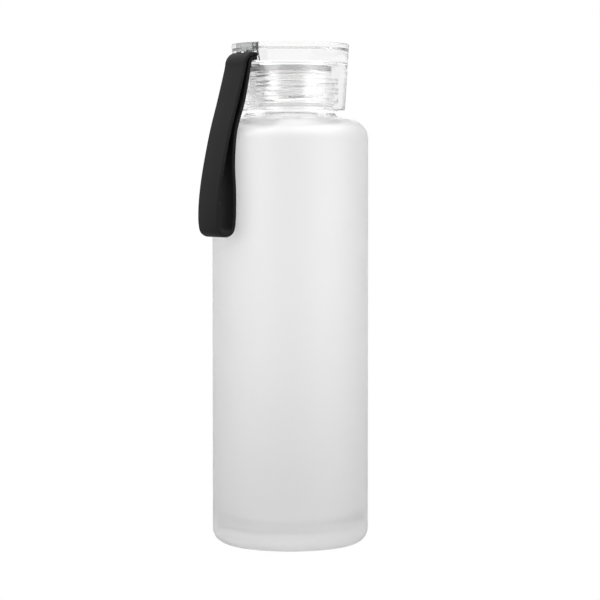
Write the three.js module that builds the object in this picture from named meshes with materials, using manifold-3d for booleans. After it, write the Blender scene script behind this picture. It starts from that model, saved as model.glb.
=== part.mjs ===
// A frosted glass water bottle with a clear screw cap and a carry strap.
//
// Millimetres, +Z up. The origin is on the bottle's axis, on the plane it stands on.
// The strap hangs from the cap's rim on the -X side.

import * as THREE from 'three';
import { mergeVertices } from 'three/addons/utils/BufferGeometryUtils.js';
import Module from 'manifold-3d';

const wasm = await Module();
wasm.setup();

// ---- Driving dimensions ----------------------------------------------------

// Glass bottle
const bodyRadius = 33; // outside of the straight wall
const bodyHeight = 171.2; // where the straight wall turns into the shoulder
const wall = 2.8;
const heelRadius = 6; // outside corner at the foot
const floorThickness = 7;
const innerHeelRadius = 9;
const shoulderRadius = 8;
const shoulderSlope = 15; // degrees, from the shoulder up to the neck
const flareRadius = 2; // hollow curve where the shoulder meets the neck
const innerFlareRadius = 4;
const neckRadius = 17.45; // root of the thread
const neckWall = 2.55; // from the thread's root to the bore
const beadProud = 0.2; // plain band at the foot of the neck, past the thread's crest
const beadHeight = 2;
const neckHeight = 15; // from the top of the bead to the lip
const lipRound = 0.8;

// Screw thread, right-handed
const pitch = 4.04;
const threadTurns = 2.4;
const threadHeight = 1.2;
const threadBase = 2.4;
const threadCrest = 1.2;
const threadDrop = 2.4; // from the lip down to the middle of the highest ridge
const threadStart = 158; // degrees about +Z, where the lowest ridge begins
const threadFade = 30; // degrees over which a ridge rises at each end
const radialClearance = 0.35;
const axialClearance = 0.5;
const insertTurns = 2.2;

// Seal ring
const sealThickness = 2;
const sealOverhang = 1.5; // how far the ring stands in over the bore
const sealClearance = 0.4; // to the thread crests of the insert around it
const seatGap = 0.3; // between faces that rest on each other

// Cap
const bulkheadThickness = 1.1;
const sleeveWall = 1.4;
const sleeveDrop = 3.4; // how much shorter the threaded sleeve is than the skirt
const skirtWall = 2.45; // at the open end
const skirtGap = 0.45; // between the skirt's rim and the top of the flare
const capTaper = 3.6; // degrees, wider at the top
const keeperThickness = 3.8; // plate let into the head over the strap
const rimRound = 0.9;
const skirtRound = 0.4;

// Strap and its slot
const strapWidth = 12.8;
const strapThickness = 1.6;
const strands = 2; // the band's two ends lie on each other in the slot
const slotTopGap = 0.5;
const seatDepth = 2.2; // from the cap's rim, as wide as the strap
const seatFlare = 1; // how much wider each side of the seat is at the slot's floor
const tongueWidth = 6; // of the strap's ends, in the narrow pocket behind the seat
const tongueGap = 0.4; // at each side of it
const tongueLength = 7; // from the cap's rim to the thickened end
const stopLength = 4; // thickened end that keeps the strap in
const stopRise = 1; // how much thicker it is than the strap
const bendRadius = 5.7; // outside of the strap's bend over the rim
const strapDrop = 73.1; // from the slot's floor to the lowest point of the strap
const strapStandoff = 1.2; // from the bottle's wall, where the strap hangs closest to it

// How the strap hangs, from its bend at the rim down to its foot. out goes from 0 at
// the rim to 1 at its standoff from the wall, down is a share of its drop, and span is
// the thickness over both strands and the eye between them.
const hang = [
  { out: 0, down: 0, span: 4.1 },
  { out: 0.39, down: 0.2, span: 5.1 },
  { out: 0.91, down: 0.375, span: 4.8 },
  { out: 1.07, down: 0.575, span: 7 },
  { out: 1.01, down: 0.71, span: 9.3 },
  { out: 1, down: 0.83, span: 10.3 },
  { out: 1.05, down: 0.925, span: 9.8 },
  { out: 1.17, down: 0.968, span: 7.9 },
];
const eyeStart = 0.4; // share of the drop where the strands part

// Smoothness
const segments = 40;
const arcSteps = 3;

// ---- Worked out from them --------------------------------------------------

const radians = THREE.MathUtils.degToRad;
const slope = radians(shoulderSlope);

// Shoulder, flare and neck
const boreRadius = neckRadius - neckWall;
const threadRadius = neckRadius + threadHeight;
const beadRadius = threadRadius + beadProud;
const shoulderCentre = new THREE.Vector2(bodyRadius - shoulderRadius, bodyHeight);
const slopeHeight = (radius, round) => {
  const from = shoulderCentre.x + round * Math.sin(slope);
  return shoulderCentre.y + round * Math.cos(slope) + (from - radius) * Math.tan(slope);
};
const flareHeight = (wallRadius, round, shoulder) => {
  const touch = wallRadius + round * (1 - Math.sin(slope));
  return slopeHeight(touch, shoulder) + round * Math.cos(slope);
};
const flareZ = flareHeight(beadRadius, flareRadius, shoulderRadius);
const innerFlareZ = flareHeight(boreRadius, innerFlareRadius, shoulderRadius - wall);
const beadTop = flareZ + beadHeight;
const lipZ = beadTop + neckHeight;

// Thread
const threadTop = lipZ - threadDrop;
const threadBottom = threadTop - threadTurns * pitch;
const insertCrestRadius = neckRadius + radialClearance;
const insertRootRadius = threadRadius + radialClearance;
const flankSlope = (threadBase - threadCrest) / threadHeight; // width lost per mm out
const insertHeight = insertRootRadius - insertCrestRadius;
const widthAtInsertCrest = threadBase - flankSlope * radialClearance;
const insertCrest = pitch - widthAtInsertCrest - 2 * axialClearance;
const insertBase = insertCrest + flankSlope * insertHeight;
const insertSpare = threadTurns - insertTurns;

// Cap, from the lip upwards
const sealZ = lipZ + seatGap;
const sealRadius = insertCrestRadius - sealClearance;
const sealBore = boreRadius - sealOverhang;
const bulkheadZ = sealZ + sealThickness + seatGap;
const slotFloor = bulkheadZ + bulkheadThickness;
const strapBottom = slotFloor + seatGap;
const strapTop = strapBottom + strands * strapThickness;
const slotTop = strapTop + slotTopGap;
const capTop = slotTop + keeperThickness;
const skirtZ = flareZ + skirtGap;
const sleeveZ = skirtZ + sleeveDrop;
const sleeveRadius = insertRootRadius + sleeveWall;
const skirtBore = sleeveRadius + seatGap;
const skirtRadius = skirtBore + skirtWall;
const capRadius = skirtRadius + (capTop - skirtZ) * Math.tan(radians(capTaper));
const capRadiusAt = (z) => skirtRadius + (z - skirtZ) * Math.tan(radians(capTaper));

// Strap slot, and where the strap leaves it
const strapExit = capRadiusAt(strapTop);
const beyondRim = capRadius + 1;
const seatHalf = strapWidth / 2 + seatGap;
const seatInner = strapExit - seatDepth;
const tongueHalf = tongueWidth / 2 + tongueGap;
const stopOuter = strapExit - tongueLength;
const slotInner = stopOuter - stopLength - 2 * seatGap;
const bendCentre = new THREE.Vector2(strapExit, strapTop - bendRadius);
const bendInner = bendRadius - hang[0].span;
const hangTop = bendCentre.y - seatGap;
const strapLow = slotFloor - strapDrop;

// ---- Solids ----------------------------------------------------------------

// A closed geometry as a solid: only positions count, and slivers are left out.
function solid(geometry) {
  const bare = geometry.clone();
  bare.deleteAttribute('normal');
  bare.deleteAttribute('uv');
  const merged = mergeVertices(bare, 1e-4);
  const corners = merged.index.array;
  const triangles = [];
  for (let i = 0; i < corners.length; i += 3) {
    const [a, b, c] = corners.slice(i, i + 3);
    if (a !== b && b !== c && c !== a) triangles.push(a, b, c);
  }
  const mesh = new wasm.Mesh({
    numProp: 3,
    vertProperties: Float32Array.from(merged.attributes.position.array),
    triVerts: Uint32Array.from(triangles),
  });
  return new wasm.Manifold(mesh);
}

// And back to a geometry that a mesh can show.
function geometryOf(body) {
  const mesh = body.getMesh();
  const geometry = new THREE.BufferGeometry();
  geometry.setAttribute('position', new THREE.BufferAttribute(mesh.vertProperties, 3));
  geometry.setIndex(new THREE.BufferAttribute(mesh.triVerts, 1));
  geometry.computeVertexNormals();
  return geometry;
}

// An outline of radius and height, turned once about +Z.
function turned(outline) {
  return solid(new THREE.LatheGeometry(outline, segments).rotateX(Math.PI / 2));
}

// A plan outline, standing from one height to another.
function upright(shape, bottom, top) {
  const depth = top - bottom;
  const settings = { depth, bevelEnabled: false, curveSegments: arcSteps };
  return solid(new THREE.ExtrudeGeometry(shape, settings).translate(0, 0, bottom));
}

// A side view in distance from the axis and height, as wide as the strap, on the -X side.
function band(shape, width) {
  const settings = { depth: width, bevelEnabled: false, curveSegments: arcSteps };
  const geometry = new THREE.ExtrudeGeometry(shape, settings);
  geometry.translate(0, 0, -width / 2).rotateX(Math.PI / 2).rotateZ(Math.PI);
  return solid(geometry);
}

// One helical ridge on a wall. It stands out from the wall, or in from it, and fades
// into the wall at both ends.
function ridge({ wallRadius, height, base, crest, startAngle, startZ, turns, inward }) {
  const sink = 0.4; // how far the ridge is rooted in the wall
  const flank = (base - crest) / 2 / height;
  const rootHalf = base / 2 + flank * sink;
  const profile = new THREE.Shape([
    new THREE.Vector2(-sink, -rootHalf),
    new THREE.Vector2(height, -crest / 2),
    new THREE.Vector2(height, crest / 2),
    new THREE.Vector2(-sink, rootHalf),
  ]);
  const steps = Math.round(segments * turns);
  const geometry = new THREE.ExtrudeGeometry(profile, { depth: 1, steps, bevelEnabled: false });
  const place = geometry.attributes.position;
  const direction = inward ? -1 : 1;
  for (let i = 0; i < place.count; i += 1) {
    const turn = place.getZ(i) * turns;
    const nearestEnd = Math.min(turn, turns - turn) * 360;
    const risen = THREE.MathUtils.smoothstep(nearestEnd, -threadFade / 5, threadFade);
    const out = place.getX(i) > 0 ? place.getX(i) * risen : place.getX(i);
    const radius = wallRadius + direction * out;
    const angle = radians(startAngle) + turn * 2 * Math.PI;
    const z = startZ + turn * pitch - direction * place.getY(i);
    place.setXYZ(i, radius * Math.cos(angle), radius * Math.sin(angle), z);
  }
  return solid(geometry);
}

// ---- Glass bottle ----------------------------------------------------------

// One blown piece: solid foot, straight wall, sloping shoulder and threaded neck.
function glassBottle() {
  const innerRadius = bodyRadius - wall;
  const leanOut = Math.PI / 2 - slope;
  const leanIn = 1.5 * Math.PI - slope;
  const outline = new THREE.Path();
  outline.moveTo(0, 0);
  outline.lineTo(bodyRadius - heelRadius, 0);
  outline.absarc(bodyRadius - heelRadius, heelRadius, heelRadius, -Math.PI / 2, 0);
  outline.absarc(shoulderCentre.x, shoulderCentre.y, shoulderRadius, 0, leanOut);
  outline.absarc(beadRadius + flareRadius, flareZ, flareRadius, leanIn, Math.PI, true);
  outline.lineTo(beadRadius, beadTop);
  outline.lineTo(neckRadius, beadTop + beadRadius - neckRadius);
  outline.absarc(neckRadius - lipRound, lipZ - lipRound, lipRound, 0, Math.PI / 2);
  outline.absarc(boreRadius + lipRound, lipZ - lipRound, lipRound, Math.PI / 2, Math.PI);
  outline.absarc(boreRadius + innerFlareRadius, innerFlareZ, innerFlareRadius, Math.PI, leanIn);
  outline.absarc(shoulderCentre.x, shoulderCentre.y, shoulderRadius - wall, leanOut, 0, true);
  const heelZ = floorThickness + innerHeelRadius;
  outline.absarc(innerRadius - innerHeelRadius, heelZ, innerHeelRadius, 0, -Math.PI / 2, true);
  outline.lineTo(0, floorThickness);
  const thread = ridge({
    wallRadius: neckRadius,
    height: threadHeight,
    base: threadBase,
    crest: threadCrest,
    startAngle: threadStart,
    startZ: threadBottom,
    turns: threadTurns,
  });
  return turned(outline.getPoints(arcSteps)).add(thread);
}

// ---- Seal ring -------------------------------------------------------------

// A flat silicone washer between the lip and the cap's bulkhead.
function sealRing() {
  const top = sealZ + sealThickness;
  return turned([
    new THREE.Vector2(sealBore, sealZ),
    new THREE.Vector2(sealRadius, sealZ),
    new THREE.Vector2(sealRadius, top),
    new THREE.Vector2(sealBore, top),
    new THREE.Vector2(sealBore, sealZ),
  ]);
}

// ---- Cap -------------------------------------------------------------------

// Plan of the strap's slot: a wide seat at the rim and a narrow pocket behind it.
function slotPlan(inset) {
  const seat = seatHalf - inset;
  const tongue = tongueHalf - inset;
  return new THREE.Shape([
    new THREE.Vector2(-beyondRim, -seat),
    new THREE.Vector2(-seatInner - inset, -seat),
    new THREE.Vector2(-seatInner - inset, -tongue),
    new THREE.Vector2(-slotInner - inset, -tongue),
    new THREE.Vector2(-slotInner - inset, tongue),
    new THREE.Vector2(-seatInner - inset, tongue),
    new THREE.Vector2(-seatInner - inset, seat),
    new THREE.Vector2(-beyondRim, seat),
  ]);
}

// The seat's sides below the keeper, leaning outwards to the slot's floor.
function seatSides() {
  const end = new THREE.Shape([
    new THREE.Vector2(-seatHalf - seatFlare, slotFloor),
    new THREE.Vector2(seatHalf + seatFlare, slotFloor),
    new THREE.Vector2(seatHalf, slotTop),
    new THREE.Vector2(-seatHalf, slotTop),
  ]);
  const settings = { depth: beyondRim - seatInner, bevelEnabled: false };
  const geometry = new THREE.ExtrudeGeometry(end, settings);
  geometry.rotateX(Math.PI / 2).rotateZ(Math.PI / 2).translate(-beyondRim, 0, 0);
  return solid(geometry);
}

// The cap without its slot: a thick head on a plain tapered skirt.
function capBlank() {
  const ceiling = slotFloor + seatGap;
  const outline = new THREE.Path();
  outline.moveTo(0, ceiling);
  outline.lineTo(skirtBore, ceiling);
  outline.lineTo(skirtBore, skirtZ);
  outline.lineTo(skirtRadius - skirtRound, skirtZ);
  outline.lineTo(capRadiusAt(skirtZ + skirtRound), skirtZ + skirtRound);
  outline.absarc(capRadius - rimRound, capTop - rimRound, rimRound, 0, Math.PI / 2);
  outline.lineTo(0, capTop);
  return turned(outline.getPoints(arcSteps));
}

// Outer shell, with the strap's slot let into its head from above.
function capShell() {
  const slot = upright(slotPlan(0), slotFloor, capTop + 1);
  return capBlank().subtract(slot).subtract(seatSides());
}

// Plate that fills the slot over the strap, hollowed over the strap's thicker end.
function strapKeeper() {
  const plate = upright(slotPlan(seatGap), slotTop, capTop + 1);
  const overStop = new THREE.Shape([
    new THREE.Vector2(-stopOuter, -tongueHalf),
    new THREE.Vector2(-slotInner, -tongueHalf),
    new THREE.Vector2(-slotInner, tongueHalf),
    new THREE.Vector2(-stopOuter, tongueHalf),
  ]);
  const hollow = upright(overStop, slotTop - 1, slotTop + stopRise);
  return capBlank().intersect(plate).subtract(hollow);
}

// Insert: a threaded sleeve under a bulkhead that closes the pocket from below.
function capInsert() {
  const body = turned([
    new THREE.Vector2(0, bulkheadZ),
    new THREE.Vector2(insertRootRadius, bulkheadZ),
    new THREE.Vector2(insertRootRadius, sleeveZ),
    new THREE.Vector2(sleeveRadius, sleeveZ),
    new THREE.Vector2(sleeveRadius, slotFloor),
    new THREE.Vector2(0, slotFloor),
  ]);
  const spareAngle = (insertSpare / 2) * 360;
  const thread = ridge({
    wallRadius: insertRootRadius,
    height: insertHeight,
    base: insertBase,
    crest: insertCrest,
    startAngle: threadStart + spareAngle,
    startZ: threadBottom + (insertSpare / 2) * pitch + pitch / 2,
    turns: insertTurns,
    inward: true,
  });
  return body.add(thread);
}

// ---- Strap -----------------------------------------------------------------

// The trapped ends: both strands in the seat, then a narrow tongue with a thicker end.
function strapEnds() {
  const tip = slotInner + seatGap;
  const stop = tip + stopLength;
  const rim = strapExit - seatGap;
  const inSeat = new THREE.Shape([
    new THREE.Vector2(seatInner + seatGap, strapBottom),
    new THREE.Vector2(rim, strapBottom),
    new THREE.Vector2(rim, strapTop),
    new THREE.Vector2(seatInner + seatGap, strapTop),
  ]);
  const tongue = new THREE.Shape([
    new THREE.Vector2(tip, strapBottom),
    new THREE.Vector2(rim, strapBottom),
    new THREE.Vector2(rim, strapTop),
    new THREE.Vector2(stop, strapTop),
    new THREE.Vector2(stop, strapTop + stopRise),
    new THREE.Vector2(tip, strapTop + stopRise),
  ]);
  return band(inSeat, strapWidth).add(band(tongue, tongueWidth));
}

// The bend over the cap's rim, where the strap flexes as it swings.
function strapBend() {
  const side = new THREE.Shape();
  side.moveTo(bendCentre.x, strapBottom);
  side.lineTo(bendCentre.x, strapTop);
  side.absarc(bendCentre.x, bendCentre.y, bendRadius, Math.PI / 2, 0, true);
  side.lineTo(bendCentre.x + bendInner, bendCentre.y);
  side.quadraticCurveTo(bendCentre.x + bendInner, strapBottom, bendCentre.x, strapBottom);
  return band(side, strapWidth);
}

// The hanging loop: two strands that lie together at the top and open into an eye.
function strapLoop() {
  const rim = bendCentre.x + bendInner;
  const nearWall = bodyRadius + strapStandoff;
  const fall = (down) => hangTop - down * (hangTop - strapLow);
  const nearFace = hang.map(({ out, down }) => {
    return new THREE.Vector2(rim + out * (nearWall - rim), fall(down));
  });
  const farFace = hang.map(({ span }, i) => {
    return new THREE.Vector2(nearFace[i].x + span, nearFace[i].y);
  });
  const last = hang.length - 1;
  const foot = new THREE.Vector2(nearFace[last].x + hang[last].span / 2, strapLow);
  const side = new THREE.Shape();
  side.moveTo(nearFace[0].x, nearFace[0].y);
  side.splineThru([...nearFace.slice(1), foot, ...farFace.reverse()]);
  farFace.reverse();

  // The eye leaves one strap thickness of band all round.
  const opened = hang.map(({ down }, i) => i).filter((i) => hang[i].down > eyeStart && i < last);
  const nearEye = opened.map((i) => nearFace[i].clone().setX(nearFace[i].x + strapThickness));
  const farEye = opened.map((i) => farFace[i].clone().setX(farFace[i].x - strapThickness));
  const parting = nearFace[opened[0] - 1].x + hang[opened[0] - 1].span / 2;
  const eyeFoot = new THREE.Vector2(foot.x, strapLow + strapThickness);
  const eye = new THREE.Path();
  eye.moveTo(parting, fall(eyeStart));
  eye.splineThru([...nearEye, eyeFoot, ...farEye.reverse(), new THREE.Vector2(parting, fall(eyeStart))]);
  side.holes.push(eye);
  return band(side, strapWidth);
}

// ---- Assembly --------------------------------------------------------------

const bottle = new THREE.Group();

function addPart(name, body, { color, roughness, opacity = 1 }) {
  const material = new THREE.MeshStandardMaterial({ color, roughness, metalness: 0 });
  material.transparent = opacity < 1;
  material.opacity = opacity;
  const mesh = new THREE.Mesh(geometryOf(body), material);
  mesh.name = name;
  bottle.add(mesh);
}

const frostedGlass = { color: 0xeef2f1, roughness: 0.55, opacity: 0.7 };
const clearPlastic = { color: 0xf4f7f7, roughness: 0.06, opacity: 0.35 };
const smokyPlastic = { color: 0xc9cbcc, roughness: 0.06, opacity: 0.5 };
const clearSilicone = { color: 0xe3e6e5, roughness: 0.4, opacity: 0.8 };
const blackSilicone = { color: 0x1c1c1d, roughness: 0.5 };

addPart('glass_bottle', glassBottle(), frostedGlass);
addPart('seal_ring', sealRing(), clearSilicone);
addPart('cap_insert', capInsert(), clearPlastic);
addPart('cap_shell', capShell(), clearPlastic);
addPart('strap_keeper', strapKeeper(), smokyPlastic);
addPart('strap_ends', strapEnds(), blackSilicone);
addPart('strap_bend', strapBend(), blackSilicone);
addPart('strap_loop', strapLoop(), blackSilicone);

export default bottle;
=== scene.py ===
"""A frosted glass water bottle with a clear screw cap and a black silicone carry strap."""

import math

import bmesh
import bpy
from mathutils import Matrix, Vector


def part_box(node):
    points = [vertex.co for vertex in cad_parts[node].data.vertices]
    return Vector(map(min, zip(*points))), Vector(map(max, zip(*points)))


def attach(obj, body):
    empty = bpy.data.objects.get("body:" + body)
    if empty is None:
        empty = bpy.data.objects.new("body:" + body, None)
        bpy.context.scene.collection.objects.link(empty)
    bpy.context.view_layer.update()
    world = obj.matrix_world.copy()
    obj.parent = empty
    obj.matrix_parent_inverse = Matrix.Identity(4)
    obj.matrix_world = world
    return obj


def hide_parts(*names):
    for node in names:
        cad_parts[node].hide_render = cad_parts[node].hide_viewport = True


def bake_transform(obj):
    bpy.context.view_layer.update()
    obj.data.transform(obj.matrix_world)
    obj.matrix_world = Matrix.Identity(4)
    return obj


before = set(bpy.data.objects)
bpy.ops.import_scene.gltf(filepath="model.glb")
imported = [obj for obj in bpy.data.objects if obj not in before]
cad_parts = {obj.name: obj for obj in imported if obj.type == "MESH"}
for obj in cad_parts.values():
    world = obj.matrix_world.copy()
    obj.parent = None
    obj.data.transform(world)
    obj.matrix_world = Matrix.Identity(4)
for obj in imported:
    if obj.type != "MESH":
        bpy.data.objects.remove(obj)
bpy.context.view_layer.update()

MM = 0.001
TAU = 2 * math.pi

# ---- Places and sizes, from the frame where it has them -----------------------------

bottle_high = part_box("glass_bottle")[1]
shell_low, shell_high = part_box("cap_shell")
insert_low, insert_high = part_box("cap_insert")
seal_low, seal_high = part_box("seal_ring")
ends_low, ends_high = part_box("strap_ends")
bend_low, bend_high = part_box("strap_bend")
loop_low, loop_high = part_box("strap_loop")

# Glass bottle
BODY_R = bottle_high.x
LIP_Z = bottle_high.z
WALL = 2.8 * MM
HEEL_R = 6 * MM
FLOOR = 7 * MM
INNER_HEEL_R = 9 * MM
SHOULDER_R = 8 * MM
SHOULDER_Z = 171.2 * MM
SLOPE = math.radians(15)
FLARE_R = 2 * MM
INNER_FLARE_R = 4 * MM
NECK_R = 17.45 * MM
BORE_R = 14.9 * MM
BEAD_R = 18.85 * MM
BEAD_H = 2 * MM
BEAD_ROUND = 0.7 * MM
BEAD_FALL = 0.3 * MM  # how far below the bead's top its rounding starts
LIP_ROUND = 0.8 * MM
FROST_TOP = 179.4 * MM  # the frosting stops on the shoulder, just short of the neck

# Screw thread, right-handed
PITCH = 4.04 * MM
THREAD_H = 1.2 * MM
THREAD_BASE = 2.4 * MM
THREAD_CREST = 1.2 * MM
THREAD_DROP = 2.4 * MM
THREAD_TURNS = 2.4
THREAD_START = math.radians(158)
THREAD_FADE = math.radians(30)
CLEARANCE = 0.35 * MM
AXIAL_CLEARANCE = 0.5 * MM
INSERT_TURNS = 2.2

# Cap
CAP_R = shell_high.x
CAP_TOP = shell_high.z
SKIRT_Z = shell_low.z
TAPER = math.radians(3.6)
SLEEVE_R = insert_high.x
CORNER = 0.3 * MM
SLEEVE_Z = insert_low.z
SLOT_FLOOR = insert_high.z
BULKHEAD = 1.1 * MM
WELD_GAP = 0.06 * MM  # air left between the shell and its insert
KEEPER_GAP = 0.1 * MM
RIM_ROUND = 0.9 * MM
SKIRT_ROUND = 0.4 * MM
RIM_FALL = 1.2 * MM  # how far below the top the straight outer wall ends
TOP_PLATE = 3.8 * MM
SLOT_SIDE = 0.3 * MM
SEAT_D = 2.2 * MM
POCKET_LEAD = 0.3 * MM  # how far before the pocket the strap's tongue begins
TIP_GAP = 0.3 * MM
STOP_GAP = 0.6 * MM
SEAT_FLARE = 1.0 * MM
TONGUE_W = 6 * MM
TONGUE_GAP = 0.4 * MM
STOP_L = 4 * MM
STOP_RISE = MM

# Strap
strap_exit = -bend_high.x
strap_tip = -ends_high.x
STRAP_W = loop_high.y - loop_low.y
STRAP_T = 1.6 * MM
STRAP_EDGE = 0.45 * MM

# Seal ring
SEAL_BORE_R = 13.4 * MM
SEAL_ROUND = 0.35 * MM

# Fineness of the outlines and of the turned pieces
NEAR_AXIS = 3 * MM
THREAD_STEP = 0.11 * MM
BAND_STEP = 0.7 * MM
CURVE_STEPS = 24
AROUND = 224

# Camera
CAMERA_TURN = math.radians(-40)
CAMERA_DISTANCE = 0.960
CAMERA_HEIGHT = 0.1596
CAMERA_PITCH = math.radians(2.43)
CAMERA_SHIFT = (0.0162, -0.0627)
SENSOR = 36
FOCAL_LENGTH = 135.84

# Studio. Turns are in degrees to the right of the camera. A spread is the angle where a
# soft patch begins and the angle where it is full.
# The floor glows less near the bottle, a painted shadow, and reaches its full glow over the fade's
# distances.
FLOOR_SHADOW_GLOW = 0.60
FLOOR_GLOW = 1.0
FLOOR_FADE = (0.03, 1.2)
FLOOR_HALF = 8
FLOOR_DROP = 0.0002
TENT_TURN = 225
TENT_SPREAD = (143, 37)
TENT_BACK = 0.95
TENT_FRONT = 0.84
TENT_TOP = 1.9
DOME_RISE = (0.3, 0.9)
LENS_SPREAD = (32, 18)
LAMPS = ((-56, 0.6), (62, 1.2))  # turn and strength
LAMP_RISE = 0.05
LAMP_SPREAD = (38, 6)
BOXES = (("left_box", -58), ("right_box", 66))
BOX_PLACE = 0.5  # its distance from the axis and its height
BOX_SIZE = 0.2
BOX_WATTS = 0.45
BOX_AIM = (0, 0, 0.12)
LIGHT_BOUNCES = 40
GLOSS_BOUNCES = 16


# ---- Outlines -------------------------------------------------------------------------

def arc(centre_r, centre_z, radius, start, end, steps=10):
    """Points along an arc, in distance from the axis and height. Angles in degrees."""
    points = []
    for i in range(steps + 1):
        a = math.radians(start + (end - start) * i / steps)
        points.append((centre_r + radius * math.cos(a), centre_z + radius * math.sin(a)))
    return points


def line(start, end, spacing):
    """Points from start to end, both ends included, about spacing apart."""
    steps = max(1, round(math.dist(start, end) / spacing))
    return [tuple(a + (b - a) * i / steps for a, b in zip(start, end)) for i in range(steps + 1)]


def slope_height(radius, round_r):
    """Height of the shoulder's slope at a radius, for the outer or the inner face."""
    start = BODY_R - SHOULDER_R + round_r * math.sin(SLOPE)
    return SHOULDER_Z + round_r * math.cos(SLOPE) + (start - radius) * math.tan(SLOPE)


def flare_height(wall_r, flare_r, round_r):
    """Height of the centre of the curve that joins the slope to the neck."""
    touch = wall_r + flare_r * (1 - math.sin(SLOPE))
    return slope_height(touch, round_r) + flare_r * math.cos(SLOPE)


def smooth_step(value):
    value = min(max(value, 0), 1)
    return value * value * (3 - 2 * value)


def thread(bottom, turns, start, base, crest, height):
    """A function of angle and height that gives how far a helical ridge stands out."""
    flank = (base - crest) / 2

    def ridge(angle, z):
        rise = 0
        around = (angle - start) % TAU
        for turn in range(math.ceil(turns) + 1):
            swept = around + turn * TAU
            if swept > turns * TAU:
                break
            off = abs(z - bottom - swept / TAU * PITCH)
            side = smooth_step((base / 2 - off) / flank)
            ends = smooth_step(min(swept, turns * TAU - swept) / THREAD_FADE)
            rise = max(rise, height * side * ends)
        return rise

    return ridge


# ---- Mesh helpers ---------------------------------------------------------------------

def finish_mesh(name, mesh, materials, smooth=True):
    """Turns a bmesh into an object with its materials."""
    bmesh.ops.recalc_face_normals(mesh, faces=mesh.faces)
    data = bpy.data.meshes.new(name)
    mesh.to_mesh(data)
    mesh.free()
    for material in materials:
        data.materials.append(material)
    for face in data.polygons:
        face.use_smooth = smooth
    piece = bpy.data.objects.new(name, data)
    bpy.context.scene.collection.objects.link(piece)
    return piece


def loft(mesh, rings):
    """Joins rings of equal count with side faces and closes both ends."""
    mesh.faces.new(rings[0])
    mesh.faces.new(rings[-1])
    count = len(rings[0])
    for low, high in zip(rings, rings[1:]):
        for k in range(count):
            j = (k + 1) % count
            mesh.faces.new([low[k], low[j], high[j], high[k]])


def turned(name, outline, materials, finish_at=lambda r, z, row: 0, relief=None):
    """Turns an outline about the bottle's axis into a closed mesh.

    A point on the axis becomes one vertex. relief(angle, z, row) moves a wall outwards.
    finish_at gives a face's material from the middle of its two outline points.
    """
    mesh = bmesh.new()
    rows = []
    for row, (r, z) in enumerate(outline):
        if r == 0:
            rows.append([mesh.verts.new((0, 0, z))] * AROUND)
            continue
        ring = []
        for k in range(AROUND):
            angle = TAU * k / AROUND
            out = r + (relief(angle, z, row) if relief else 0)
            ring.append(mesh.verts.new((out * math.cos(angle), out * math.sin(angle), z)))
        rows.append(ring)
    closed = outline[0][0] > 0
    count = len(rows)
    for row in range(count if closed else count - 1):
        low, high = rows[row], rows[(row + 1) % count]
        (r0, z0), (r1, z1) = outline[row], outline[(row + 1) % count]
        finish = finish_at((r0 + r1) / 2, (z0 + z1) / 2, row)
        for k in range(AROUND):
            j = (k + 1) % AROUND
            corners = [low[k], low[j], high[j], high[k]]
            face = mesh.faces.new(list(dict.fromkeys(corners)))
            face.material_index = finish
    return finish_mesh(name, mesh, materials)


# ---- Materials ------------------------------------------------------------------------

def linear(hex_colour):
    """An sRGB hex colour as linear RGBA."""
    channels = []
    for i in (1, 3, 5):
        c = int(hex_colour[i:i + 2], 16) / 255
        channels.append(c / 12.92 if c <= 0.04045 else ((c + 0.055) / 1.055) ** 2.4)
    return (*channels, 1)


def node(material, kind, settings=None, **inputs):
    """Adds a node. Inputs are values, or sockets to link from; _ stands for a space."""
    made = material.node_tree.nodes.new("ShaderNode" + kind)
    for key, value in (settings or {}).items():
        setattr(made, key, value)
    for key, value in inputs.items():
        socket = made.inputs[key.replace("_", " ")]
        if isinstance(value, bpy.types.NodeSocket):
            material.node_tree.links.new(value, socket)
        else:
            socket.default_value = value
    return made


def new_material(name):
    material = bpy.data.materials.new(name)
    material.use_nodes = True
    material.node_tree.nodes.clear()
    return material


def surface(material, shader):
    out = node(material, "OutputMaterial")
    material.node_tree.links.new(shader.outputs[0], out.inputs["Surface"])
    return material


def acid_frosted_glass():
    """Soda-lime glass etched outside: a milky skin that glows and hides what is inside."""
    m = new_material("acid_frosted_soda_lime_glass")
    place = node(m, "TexCoord").outputs["Object"]
    # The etch's own grain is a few hundredths of a millimetre; drawn at about 0.25 mm.
    grain = node(m, "TexNoise", Vector=place, Scale=4000, Detail=2, Roughness=0.6)
    # Patches about 17 mm across, where the acid bit more or less.
    patch = node(m, "TexNoise", Vector=place, Scale=60, Detail=3, Roughness=0.5)
    rough = node(m, "MapRange", Value=patch.outputs["Fac"], To_Min=0.38, To_Max=0.44)
    bump = node(m, "Bump", Strength=0.12, Distance=0.00004, Height=grain.outputs["Fac"])
    return surface(m, node(
        m, "BsdfPrincipled", Base_Color=linear("#fefefe"), Roughness=rough.outputs[0],
        IOR=1.52, Transmission_Weight=0.8, Normal=bump.outputs[0]))


def clear_glass():
    """Soda-lime glass fire-polished at the neck and inside: clear, with soft waves."""
    m = new_material("fire_polished_soda_lime_glass")
    place = node(m, "TexCoord").outputs["Object"]
    # Waves about 11 mm long, left by the flame.
    waves = node(m, "TexNoise", Vector=place, Scale=90, Detail=1, Roughness=0.4)
    bump = node(m, "Bump", Strength=0.15, Distance=0.0002, Height=waves.outputs["Fac"])
    return surface(m, node(
        m, "BsdfPrincipled", Base_Color=linear("#fefefe"), Roughness=0.02,
        IOR=1.52, Transmission_Weight=1.0, Normal=bump.outputs[0]))


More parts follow.
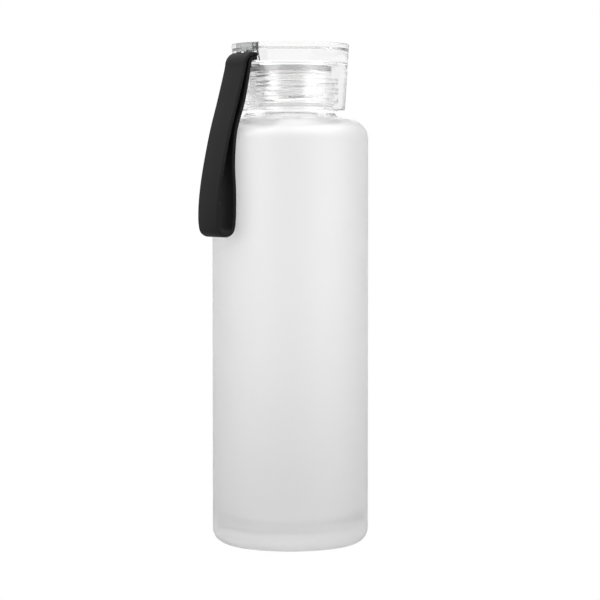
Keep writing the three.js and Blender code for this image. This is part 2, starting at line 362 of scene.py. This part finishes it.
def clear_plastic():
    """Copolyester injected in a polished mould: clear as glass, with faint sink waves."""
    m = new_material("polished_clear_copolyester")
    place = node(m, "TexCoord").outputs["Object"]
    # Sink waves about 8 mm long.
    sink = node(m, "TexNoise", Vector=place, Scale=120, Detail=1, Roughness=0.4)
    bump = node(m, "Bump", Strength=0.12, Distance=0.0002, Height=sink.outputs["Fac"])
    return surface(m, node(
        m, "BsdfPrincipled", Base_Color=linear("#fefefe"), Roughness=0.015,
        IOR=1.56, Transmission_Weight=1.0, Normal=bump.outputs[0]))


def smoky_plastic():
    """The same copolyester with a trace of grey: a small block that still looks clear."""
    m = new_material("polished_smoky_copolyester")
    place = node(m, "TexCoord").outputs["Object"]
    # Sink waves about 4 mm long, because the block is small.
    sink = node(m, "TexNoise", Vector=place, Scale=250, Detail=1, Roughness=0.4)
    bump = node(m, "Bump", Strength=0.15, Distance=0.0002, Height=sink.outputs["Fac"])
    return surface(m, node(
        m, "BsdfPrincipled", Base_Color=linear("#bcbdbe"), Roughness=0.03,
        IOR=1.56, Transmission_Weight=1.0, Normal=bump.outputs[0]))


def clear_silicone():
    """Unpigmented silicone, moulded: cloudy and soft-looking, pale grey where it is thick."""
    m = new_material("translucent_moulded_silicone")
    place = node(m, "TexCoord").outputs["Object"]
    # Cloudy patches about 3 mm across.
    cloud = node(m, "TexNoise", Vector=place, Scale=300, Detail=2, Roughness=0.5)
    rough = node(m, "MapRange", Value=cloud.outputs["Fac"], To_Min=0.3, To_Max=0.42)
    return surface(m, node(
        m, "BsdfPrincipled", Base_Color=linear("#fdfdfd"), Roughness=rough.outputs[0],
        IOR=1.41, Transmission_Weight=0.9))


def black_silicone():
    """Carbon-black silicone from a sand-blasted mould: a soft satin with no glints."""
    m = new_material("satin_black_moulded_silicone")
    place = node(m, "TexCoord").outputs["Object"]
    # The mould's blast texture, about 0.15 mm across.
    blast = node(m, "TexNoise", Vector=place, Scale=6500, Detail=2, Roughness=0.6)
    # Patches about 7 mm across, a little more or less rubbed.
    patch = node(m, "TexNoise", Vector=place, Scale=140, Detail=3, Roughness=0.55)
    rough = node(m, "MapRange", Value=patch.outputs["Fac"], To_Min=0.56, To_Max=0.66)
    shade = node(m, "Mix", {"data_type": "RGBA"}, Factor=patch.outputs["Fac"])
    shade.inputs[6].default_value = linear("#0c0c0d")
    shade.inputs[7].default_value = linear("#101011")
    bump = node(m, "Bump", Strength=0.2, Distance=0.00004, Height=blast.outputs["Fac"])
    return surface(m, node(
        m, "BsdfPrincipled", Base_Color=shade.outputs[2], Roughness=rough.outputs[0],
        IOR=1.41, Specular_IOR_Level=0.28, Normal=bump.outputs[0]))


FROSTED = acid_frosted_glass()
CLEAR_GLASS = clear_glass()
PLASTIC = clear_plastic()
KEEPER = smoky_plastic()
SEAL = clear_silicone()
STRAP = black_silicone()


# ---- Glass bottle -----------------------------------------------------------------------

def glass_bottle():
    """One blown piece: thick foot, straight wall, sloping shoulder and threaded neck."""
    lean = math.degrees(SLOPE)
    shoulder_r = BODY_R - SHOULDER_R
    slope_start = shoulder_r + SHOULDER_R * math.sin(SLOPE)
    slope_end = BEAD_R + FLARE_R * (1 - math.sin(SLOPE))
    flare_z = flare_height(BEAD_R, FLARE_R, SHOULDER_R)
    inner_flare_z = flare_height(BORE_R, INNER_FLARE_R, SHOULDER_R - WALL)
    bead_top = flare_z + BEAD_H
    neck_foot = bead_top + BEAD_R - NECK_R
    neck_top = LIP_Z - LIP_ROUND
    inner_r = BODY_R - WALL
    outside = (
        [(0, 0)] + line((4 * MM, 0), (BODY_R - HEEL_R - MM, 0), 3 * MM)
        + arc(BODY_R - HEEL_R, HEEL_R, HEEL_R, -90, 0, 14)
        + line((BODY_R, HEEL_R), (BODY_R, SHOULDER_Z), 4 * MM)[1:-1]
        + arc(shoulder_r, SHOULDER_Z, SHOULDER_R, 0, 90 - lean, 16)
        + line((slope_start, slope_height(slope_start, SHOULDER_R)),
               (slope_end, slope_height(slope_end, SHOULDER_R)), 0.5 * MM)[1:-1]
        + arc(BEAD_R + FLARE_R, flare_z, FLARE_R, 270 - lean, 180, 8)
        + line((BEAD_R, flare_z), (BEAD_R, bead_top - BEAD_FALL), MM)[1:]
        + arc(BEAD_R - BEAD_ROUND, bead_top - BEAD_FALL, BEAD_ROUND, 0, 60, 5)[1:])
    neck = line((NECK_R, neck_foot), (NECK_R, neck_top), THREAD_STEP)
    inside = (
        arc(NECK_R - LIP_ROUND, neck_top, LIP_ROUND, 0, 90, 8)[1:]
        + arc(BORE_R + LIP_ROUND, neck_top, LIP_ROUND, 90, 180, 8)
        + line((BORE_R, neck_top), (BORE_R, inner_flare_z), 2 * MM)[1:-1]
        + arc(BORE_R + INNER_FLARE_R, inner_flare_z, INNER_FLARE_R, 180, 270 - lean, 12)
        + arc(shoulder_r, SHOULDER_Z, SHOULDER_R - WALL, 90 - lean, 0, 14)
        + line((inner_r, SHOULDER_Z), (inner_r, FLOOR + INNER_HEEL_R), 4 * MM)[1:-1]
        + arc(inner_r - INNER_HEEL_R, FLOOR + INNER_HEEL_R, INNER_HEEL_R, 0, -90, 18)
        + line((inner_r - INNER_HEEL_R - MM, FLOOR), (4 * MM, FLOOR), 4 * MM) + [(0, FLOOR)])
    outline = outside + neck + inside
    first, last = len(outside), len(outside) + len(neck)
    ridge = thread(LIP_Z - THREAD_DROP - THREAD_TURNS * PITCH, THREAD_TURNS, THREAD_START,
                   THREAD_BASE, THREAD_CREST, THREAD_H)

    def relief(angle, z, row):
        return ridge(angle, z) if first <= row < last else 0

    def finish_at(r, z, row):
        return 0 if row < first and z < FROST_TOP else 1

    piece = turned("bottle_glass", outline, [FROSTED, CLEAR_GLASS], finish_at, relief)
    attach(piece, "bottle")
    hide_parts("glass_bottle")


# ---- Seal ring ----------------------------------------------------------------------------

def seal_ring():
    """A flat moulded washer with softly rounded corners, seated on the lip."""
    inner, outer = SEAL_BORE_R + SEAL_ROUND, seal_high.x - SEAL_ROUND
    low, high = seal_low.z + SEAL_ROUND, seal_high.z - SEAL_ROUND
    outline = (
        arc(outer, low, SEAL_ROUND, -90, 0, 4) + arc(outer, high, SEAL_ROUND, 0, 90, 4)
        + arc(inner, high, SEAL_ROUND, 90, 180, 4) + arc(inner, low, SEAL_ROUND, 180, 270, 4))
    piece = turned("seal_washer", outline, [SEAL])
    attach(piece, "seal")
    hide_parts("seal_ring")


# ---- Cap ------------------------------------------------------------------------------------

def cap_radius(z):
    return CAP_R - (CAP_TOP - z) * math.tan(TAPER)


def tee_plan(inset):
    """Plan of the strap's slot: a wide seat at the rim and a narrow pocket behind it."""
    rim = CAP_R + MM
    wide = STRAP_W / 2 + SLOT_SIDE - inset
    seat = strap_exit - SEAT_D + inset
    slim = TONGUE_W / 2 + TONGUE_GAP - inset
    tip = strap_tip - TIP_GAP + inset
    return [(-rim, -wide), (-seat, -wide), (-seat, -slim), (-tip, -slim),
            (-tip, slim), (-seat, slim), (-seat, wide), (-rim, wide)]


def stop_plan():
    """Plan of the recess over the strap's thicker tip."""
    slim = TONGUE_W / 2 + TONGUE_GAP
    tip = strap_tip - TIP_GAP
    far = tip + STOP_L + STOP_GAP
    return [(-far, -slim), (-tip, -slim), (-tip, slim), (-far, slim)]


def flared_seat(low, high):
    """The seat's lower part, wider towards the slot's floor."""
    mesh = bmesh.new()
    wide = STRAP_W / 2 + SLOT_SIDE
    rings = []
    for x in (-CAP_R - MM, -(strap_exit - SEAT_D)):
        rings.append([mesh.verts.new((x, y, z)) for y, z in (
            (-wide - SEAT_FLARE, low), (wide + SEAT_FLARE, low), (wide, high), (-wide, high))])
    loft(mesh, rings)
    return finish_mesh("seat_tool", mesh, [PLASTIC], smooth=False)


def upright(name, plan, low, high):
    """A plan outline standing from one height to another."""
    mesh = bmesh.new()
    rings = [[mesh.verts.new((x, y, z)) for x, y in plan] for z in (low, high)]
    loft(mesh, rings)
    return finish_mesh(name, mesh, [PLASTIC], smooth=False)


def apply_modifiers(piece):
    """Makes the modified shape the piece's own mesh."""
    graph = bpy.context.evaluated_depsgraph_get()
    data = bpy.data.meshes.new_from_object(piece.evaluated_get(graph))
    piece.modifiers.clear()
    piece.data = data


def cut(piece, tool, operation="DIFFERENCE"):
    """Cuts the tool's shape out of the piece, or all but it, and removes the tool."""
    modifier = piece.modifiers.new("cut", "BOOLEAN")
    modifier.operation = operation
    modifier.solver = "EXACT"
    modifier.object = tool
    apply_modifiers(piece)
    bpy.data.objects.remove(tool)


def cap_outline():
    """The whole cap without its slot: a thick head over a plain skirt."""
    bore = SLEEVE_R + WELD_GAP
    ceiling = SLOT_FLOOR + WELD_GAP
    wall_top = CAP_TOP - RIM_FALL
    return (
        [(0, ceiling)] + line((NEAR_AXIS, ceiling), (bore - CORNER, ceiling), 3 * MM)
        + arc(bore - CORNER, ceiling - CORNER, CORNER, 90, 0, 3)
        + line((bore, ceiling - CORNER), (bore, SKIRT_Z + SKIRT_ROUND), 2 * MM)[1:-1]
        + arc(bore + SKIRT_ROUND, SKIRT_Z + SKIRT_ROUND, SKIRT_ROUND, 180, 270, 5)
        + arc(cap_radius(SKIRT_Z) - SKIRT_ROUND, SKIRT_Z + SKIRT_ROUND, SKIRT_ROUND, -90, 0, 5)
        + line((cap_radius(SKIRT_Z + MM), SKIRT_Z + MM),
               (cap_radius(wall_top), wall_top), 0.9 * MM)
        + arc(CAP_R - RIM_ROUND, CAP_TOP - RIM_ROUND, RIM_ROUND, 0, 90, 8)
        + line((CAP_R - RIM_ROUND - MM, CAP_TOP), (NEAR_AXIS, CAP_TOP), 3 * MM) + [(0, CAP_TOP)])


def finish_cap_piece(piece, part):
    """Smooths a piece cut from the cap's outline and puts it on the cap."""
    for face in piece.data.polygons:
        face.use_smooth = True
    piece.data.set_sharp_from_angle(angle=math.radians(35))
    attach(piece, "cap")
    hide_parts(part)


def cap_shell():
    """Thick clear head with the strap's slot in its rim, over a plain skirt."""
    head = turned("cap_outer", cap_outline(), [PLASTIC])
    cut(head, upright("slot_tool", tee_plan(0), SLOT_FLOOR, CAP_TOP + MM))
    cut(head, flared_seat(SLOT_FLOOR, CAP_TOP - TOP_PLATE))
    finish_cap_piece(head, "cap_shell")


def strap_keeper():
    """Block that closes the slot over the strap, flush with the cap's top and rim."""
    under = CAP_TOP - TOP_PLATE
    keeper = turned("strap_keeper", cap_outline(), [KEEPER])
    cut(keeper, upright("keeper_tool", tee_plan(KEEPER_GAP), under, CAP_TOP + MM), "INTERSECT")
    cut(keeper, upright("stop_tool", stop_plan(), under, under + STOP_RISE))
    finish_cap_piece(keeper, "strap_keeper")


def cap_insert():
    """Threaded sleeve under a thin bulkhead, sealed into the shell."""
    root = NECK_R + THREAD_H + CLEARANCE
    crest_r = NECK_R + CLEARANCE
    under = SLOT_FLOOR - BULKHEAD
    lost = (THREAD_BASE - THREAD_CREST) / THREAD_H
    crest = PITCH - (THREAD_BASE - lost * CLEARANCE) - 2 * AXIAL_CLEARANCE
    height = root - crest_r
    spare = (THREAD_TURNS - INSERT_TURNS) / 2
    bottom = LIP_Z - THREAD_DROP - THREAD_TURNS * PITCH + (spare + 0.5) * PITCH
    ridge = thread(bottom, INSERT_TURNS, THREAD_START + spare * TAU,
                   crest + lost * height, crest, height)
    ceiling = [(0, under)] + line((NEAR_AXIS, under), (root - CORNER, under), 3 * MM)
    wall = line((root, under - CORNER), (root, SLEEVE_Z + CORNER), THREAD_STEP)
    rest = (
        arc(root + CORNER, SLEEVE_Z + CORNER, CORNER, 180, 270, 4)
        + arc(SLEEVE_R - CORNER, SLEEVE_Z + CORNER, CORNER, -90, 0, 4)
        + line((SLEEVE_R, SLEEVE_Z + CORNER), (SLEEVE_R, SLOT_FLOOR - CORNER), 2 * MM)[1:-1]
        + arc(SLEEVE_R - CORNER, SLOT_FLOOR - CORNER, CORNER, 0, 90, 4)
        + line((SLEEVE_R - MM, SLOT_FLOOR), (NEAR_AXIS, SLOT_FLOOR), 3 * MM) + [(0, SLOT_FLOOR)])
    first, last = len(ceiling), len(ceiling) + len(wall)

    def relief(angle, z, row):
        return -ridge(angle, z) if first <= row < last else 0

    piece = turned("cap_threaded_insert", ceiling + wall + rest, [PLASTIC], relief=relief)
    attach(piece, "cap")
    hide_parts("cap_insert")


# ---- Strap -----------------------------------------------------------------------------------

# How the strap hangs, from its bend down: how far out towards the bottle's wall, how far
# down, and the thickness over both strands and the eye between them, in millimetres.
HANG = ((0, 0, 4.1), (0.39, 0.2, 5.1), (0.91, 0.375, 4.8), (1.07, 0.575, 7), (1.01, 0.71, 9.3),
        (1, 0.83, 10.3), (1.05, 0.925, 9.8), (1.17, 0.968, 7.9))
STANDOFF = 1.2 * MM


def strap_route():
    """Middle of the band: out along the upper strand, down, round the foot and back up.

    Each point is (distance from the axis, height).
    """
    half = STRAP_T / 2
    top = ends_low.z + 2 * STRAP_T
    bend_z = bend_low.z
    fall = loop_high.z - loop_low.z
    rim = strap_exit + (top - bend_z) - HANG[0][2] * MM
    wall = BODY_R + STANDOFF
    near, far = [], []
    for out, down, span in HANG:
        x = rim + out * (wall - rim)
        z = loop_high.z - down * fall
        near.append((x + half, z))
        far.append((x + span * MM - half, z))
    foot = ((near[-1][0] + far[-1][0]) / 2, loop_low.z + half)
    upper, lower = top - half, ends_low.z + half
    straight = (strap_exit - MM, strap_exit - 4 * MM, strap_tip + half)
    over = arc(strap_exit, bend_z, top - bend_z - half, 90, 0, 8)
    reach = near[0][0] - strap_exit
    under = [(strap_exit + reach * math.sin(a), bend_z + (lower - bend_z) * math.cos(a))
             for a in (0, math.pi / 6, math.pi / 3, math.pi / 2)]
    return ([(x, upper) for x in reversed(straight)] + over + far[1:] + [foot]
            + near[:0:-1] + under[::-1] + [(x, lower) for x in straight])


def smooth_route(points, spacing):
    """A centripetal Catmull-Rom curve through the points, sampled evenly."""
    knots = [Vector((p[0], 0, p[1])) for p in points]
    dense = []
    for i in range(len(knots) - 1):
        p0 = knots[max(i - 1, 0)]
        p1, p2 = knots[i], knots[i + 1]
        p3 = knots[min(i + 2, len(knots) - 1)]
        t0 = 0
        t1 = t0 + max((p1 - p0).length, 1e-6) ** 0.5
        t2 = t1 + max((p2 - p1).length, 1e-6) ** 0.5
        t3 = t2 + max((p3 - p2).length, 1e-6) ** 0.5
        for k in range(CURVE_STEPS):
            t = t1 + (t2 - t1) * k / CURVE_STEPS
            a1 = p0.lerp(p1, (t - t0) / (t1 - t0))
            a2 = p1.lerp(p2, (t - t1) / (t2 - t1))
            a3 = p2.lerp(p3, (t - t2) / (t3 - t2))
            b1 = a1.lerp(a2, (t - t0) / (t2 - t0))
            b2 = a2.lerp(a3, (t - t1) / (t3 - t1))
            dense.append(b1.lerp(b2, (t - t1) / (t2 - t1)))
    dense.append(knots[-1])
    even = [dense[0]]
    walked = 0
    for a, b in zip(dense, dense[1:]):
        walked += (b - a).length
        if walked >= spacing:
            even.append(b)
            walked = 0
    return even


def band_stations(route):
    """Each place for a section of the band; its tongue starts at a square shoulder."""
    stations = []
    for i, p in enumerate(route):
        before, after = route[max(i - 1, 0)], route[min(i + 1, len(route) - 1)]
        along = (after - before).normalized()
        normal = Vector((along.z, 0, -along.x))
        in_pocket = p.z > SLOT_FLOOR and p.x < strap_exit - SEAT_D + POCKET_LEAD
        if stations and in_pocket != stations[-1][2]:
            wide, slim = (stations[-1][0], p) if in_pocket else (p, stations[-1][0])
            stations.append((wide.lerp(slim, 0.15), normal, True))
        stations.append((p, normal, in_pocket))
    return stations


def strap_band():
    """Sweeps the band's rounded section along its route."""
    route = smooth_route(strap_route(), BAND_STEP)
    half_w, half_t, edge = STRAP_W / 2, STRAP_T / 2, STRAP_EDGE
    section = []
    for sy, sn, start in ((1, 1, 0), (-1, 1, 90), (-1, -1, 180), (1, -1, 270)):
        for a, b in arc(sy * (half_w - edge), sn * (half_t - edge), edge, start, start + 90, 3):
            section.append((a, b))
    mesh = bmesh.new()
    rings = []
    for p, normal, in_pocket in band_stations(route):
        ring = []
        slimmer = half_w - TONGUE_W / 2 if in_pocket else 0
        for across, out in section:
            q = p + normal * out
            across -= math.copysign(slimmer, across)
            ring.append(mesh.verts.new((-q.x, across, q.z)))
        rings.append(ring)
    loft(mesh, rings)
    piece = finish_mesh("strap_band", mesh, [STRAP])
    piece.data.set_sharp_from_angle(angle=math.radians(50))
    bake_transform(piece)
    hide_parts("strap_ends", "strap_bend", "strap_loop")


# ---- Studio ------------------------------------------------------------------------------------

def camera():
    data = bpy.data.cameras.new("camera")
    data.lens = FOCAL_LENGTH
    data.sensor_width = SENSOR
    data.shift_x, data.shift_y = CAMERA_SHIFT
    data.clip_start = 0.01
    eye = bpy.data.objects.new("camera", data)
    bpy.context.scene.collection.objects.link(eye)
    eye.location = (CAMERA_DISTANCE * math.sin(CAMERA_TURN),
                    -CAMERA_DISTANCE * math.cos(CAMERA_TURN), CAMERA_HEIGHT)
    eye.rotation_euler = (math.pi / 2 - CAMERA_PITCH, 0, CAMERA_TURN)
    bpy.context.scene.camera = eye


def studio_point(turn, distance, height):
    """A place by its turn from the camera's side of the bottle, in degrees to the right."""
    a = CAMERA_TURN + math.radians(turn)
    return Vector((distance * math.sin(a), -distance * math.cos(a), height))


def white_sweep():
    """Pale floor that burns out to white; to what stands on it, a painted shadow makes it glow a
    little less near the bottle.
    """
    m = new_material("matt_white_sweep")
    place = node(m, "TexCoord").outputs["Object"]
    away = node(m, "VectorMath", {"operation": "LENGTH"}, Vector=place).outputs["Value"]
    # Painted shadow: a dimmer glow near the bottle's foot and full glow farther out, for all but
    # camera rays.
    painted_shadow_glow = node(m, "MapRange", {"interpolation_type": "SMOOTHSTEP"}, Value=away,
                  From_Min=FLOOR_FADE[0], From_Max=FLOOR_FADE[1],
                  To_Min=FLOOR_SHADOW_GLOW, To_Max=FLOOR_GLOW).outputs[0]
    seen = node(m, "LightPath").outputs["Is Camera Ray"]
    glow = node(m, "Mix", {"data_type": "FLOAT"}, Factor=seen, A=painted_shadow_glow, B=1.0).outputs[0]
    surface(m, node(m, "Emission", Color=(1, 1, 1, 1), Strength=glow))
    mesh = bmesh.new()
    mesh.faces.new([mesh.verts.new((x * FLOOR_HALF, y * FLOOR_HALF, -FLOOR_DROP))
                    for x, y in ((-1, -1), (1, -1), (1, 1), (-1, 1))])
    floor = finish_mesh("floor", mesh, [m], smooth=False)


def soft_box(name, turn):
    """A square soft box on one side, above the camera, aimed at the bottle's middle."""
    place = studio_point(turn, BOX_PLACE, BOX_PLACE)
    data = bpy.data.lights.new(name, "AREA")
    data.shape = "SQUARE"
    data.size = BOX_SIZE
    data.energy = BOX_WATTS
    lamp = bpy.data.objects.new(name, data)
    bpy.context.scene.collection.objects.link(lamp)
    lamp.location = place
    lamp.rotation_euler = (Vector(BOX_AIM) - place).to_track_quat("-Z", "Y").to_euler()
    lamp.visible_camera = False


def toward(world, way, direction, spread, low, high):
    """A soft round patch of the tent: low outside its spread and high in its middle."""
    wide, narrow = spread
    aim = node(world, "VectorMath", {"operation": "DOT_PRODUCT"}, Vector=way)
    aim.inputs[1].default_value = direction.normalized()
    return node(world, "MapRange", {"interpolation_type": "SMOOTHSTEP"}, Value=aim.outputs["Value"],
                From_Min=math.cos(math.radians(wide)), From_Max=math.cos(math.radians(narrow)),
                To_Min=low, To_Max=high).outputs[0]


def combine(world, operation, first, second):
    made = node(world, "Math", {"operation": operation}, Value=first)
    world.node_tree.links.new(second, made.inputs[1])
    return made.outputs[0]


def white_room():
    """A white tent: brightest overhead and at the back, with two soft lamps and a dark lens."""
    world = bpy.data.worlds.new("white_tent")
    bpy.context.scene.world = world
    world.use_nodes = True
    world.node_tree.nodes.clear()
    way = node(world, "TexCoord").outputs["Generated"]
    glow = toward(world, way, studio_point(TENT_TURN, 1, 0), TENT_SPREAD, TENT_FRONT, TENT_BACK)
    lens = toward(world, way, studio_point(0, 1, 0), LENS_SPREAD, 1, 0)
    glow = combine(world, "MULTIPLY", glow, lens)
    for turn, strength in LAMPS:
        lamp = toward(world, way, studio_point(turn, 1, LAMP_RISE), LAMP_SPREAD, 0, strength)
        glow = combine(world, "ADD", glow, lamp)
    up = node(world, "SeparateXYZ", Vector=way).outputs["Z"]
    high = node(world, "MapRange", {"interpolation_type": "SMOOTHSTEP"}, Value=up,
                From_Min=DOME_RISE[0], From_Max=DOME_RISE[1]).outputs[0]
    dome = node(world, "Mix", {"data_type": "FLOAT"}, Factor=high, A=glow, B=TENT_TOP).outputs[0]
    seen = node(world, "LightPath").outputs["Is Camera Ray"]
    light = node(world, "Mix", {"data_type": "FLOAT"}, Factor=seen, A=dome, B=1.0).outputs[0]
    back = node(world, "Background", Color=(1, 1, 1, 1), Strength=light)
    out = node(world, "OutputWorld")
    world.node_tree.links.new(back.outputs[0], out.inputs["Surface"])


def studio():
    white_room()
    white_sweep()
    for name, turn in BOXES:
        soft_box(name, turn)
    scene = bpy.context.scene
    scene.view_settings.view_transform = "Standard"
    # Light goes many times round inside the thick clear cap before it comes out.
    scene.cycles.max_bounces = LIGHT_BOUNCES
    scene.cycles.transmission_bounces = LIGHT_BOUNCES
    scene.cycles.glossy_bounces = GLOSS_BOUNCES


camera()
glass_bottle()
seal_ring()
cap_shell()
strap_keeper()
cap_insert()
strap_band()
studio()
